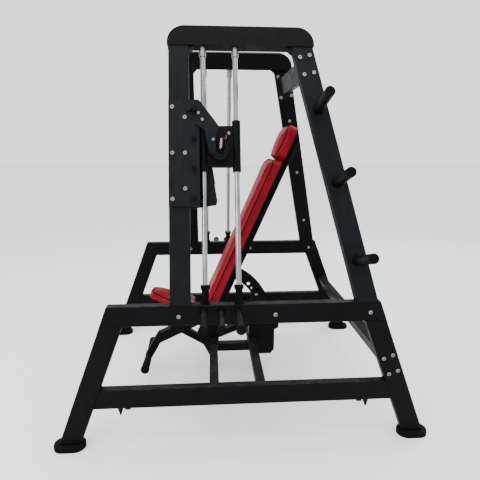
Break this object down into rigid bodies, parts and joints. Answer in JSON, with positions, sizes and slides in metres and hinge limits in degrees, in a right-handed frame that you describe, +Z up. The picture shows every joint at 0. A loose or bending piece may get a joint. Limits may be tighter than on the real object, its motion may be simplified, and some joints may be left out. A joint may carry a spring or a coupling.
{
  "type": "plate-loaded press machine",
  "caption": "Plate-loaded converging press with leaning side frames, hooked carriages on guide rods, plate pegs and an adjustable padded bench.",
  "frame": {"origin": "on the floor, midway between the feet and between the side frames", "axes": "+X towards the machine's rear, so the user faces -X; +Y towards the right side frame; +Z up"},
  "size_m": [1.9303, 1.834, 2.074],
  "materials": {
    "powder_coat": "satin near-black powder coat",
    "grey_plate": "satin dark blue-grey powder coat",
    "flange_paint": "satin grey",
    "pin_black": "satin black",
    "rubber": "matte",
    "plastic": "matte",
    "chrome": "polished",
    "steel": "bright zinc",
    "vinyl": "grained red vinyl",
    "board": "black painted plywood"
  },
  "bodies": {
    "frame": {"left_upper_rail": "powder_coat", "left_lower_rail": "powder_coat", "left_front_leg": "powder_coat", "left_rear_leg": "powder_coat", "left_front_upright": "powder_coat", "left_rear_upright": "powder_coat", "left_top_beam": "powder_coat", "left_outer_plate": "grey_plate", "left_inner_plate": "grey_plate", "right_upper_rail": "powder_coat", "right_lower_rail": "powder_coat", "right_front_leg": "powder_coat", "right_rear_leg": "powder_coat", "right_front_upright": "powder_coat", "right_rear_upright": "powder_coat", "right_top_beam": "powder_coat", "right_outer_plate": "grey_plate", "right_inner_plate": "grey_plate", "rubber_feet": "rubber", "guide_rods": "chrome", "rod_rings": "steel", "rod_bumpers": "rubber", "catch_pins": "pin_black", "storage_pegs": "pin_black", "band_pegs": "pin_black", "frame_bolts": "steel", "upper_crossmember": "powder_coat", "lower_crossmember": "powder_coat", "bench_cross_tubes": "powder_coat", "bench_beam": "powder_coat", "hinge_ears": "powder_coat", "bench_pins": "steel", "seat_spine": "powder_coat", "bench_braces": "powder_coat", "adjuster_box": "powder_coat", "front_handle": "powder_coat", "front_handle_grips": "rubber", "seat_board": "board", "seat_pad": "vinyl"},
    "left_carriage_body": {"left_carriage": "powder_coat", "left_linear_bushings": "steel", "left_pivot_flange": "flange_paint"},
    "left_hook_body": {"left_hook": "grey_plate", "left_plate_sleeve": "chrome", "left_sleeve_cap": "plastic", "left_hand_grip": "rubber"},
    "right_carriage_body": {"right_carriage": "powder_coat", "right_linear_bushings": "steel", "right_pivot_flange": "flange_paint"},
    "right_hook_body": {"right_hook": "grey_plate", "right_plate_sleeve": "chrome", "right_sleeve_cap": "plastic", "right_hand_grip": "rubber"},
    "backrest": {"back_frame": "powder_coat", "adjuster_sector": "powder_coat", "back_board": "board", "back_pad": "vinyl", "head_pad": "vinyl"},
    "lock_pin_body": {"lock_pin": "steel"}
  },
  "joints": [
    {"name": "left_carriage_slide", "type": "slide", "parent": "frame", "child": "left_carriage_body", "axis": [0, 0.2924, 0.9563], "range_m": [0, 0.32]},
    {"name": "left_hook_turn", "type": "hinge", "parent": "left_carriage_body", "child": "left_hook_body", "pos_m": [-0.11275, -0.48918, 1.46245], "axis": [0, 0.9563, -0.2924], "range_deg": [0, 22]},
    {"name": "right_carriage_slide", "type": "slide", "parent": "frame", "child": "right_carriage_body", "axis": [0, -0.2924, 0.9563], "range_m": [0, 0.32]},
    {"name": "right_hook_turn", "type": "hinge", "parent": "right_carriage_body", "child": "right_hook_body", "pos_m": [-0.11275, 0.48918, 1.46245], "axis": [0, 0.9563, 0.2924], "range_deg": [0, 22]},
    {"name": "backrest_hinge", "type": "hinge", "parent": "frame", "child": "backrest", "pos_m": [-0.15, 0, 0.4], "axis": [0, 1, 0], "range_deg": [-14, 14]},
    {"name": "lock_pin_slide", "type": "slide", "parent": "frame", "child": "lock_pin_body", "axis": [0, -1, 0], "range_m": [0, 0.014]}
  ]
}
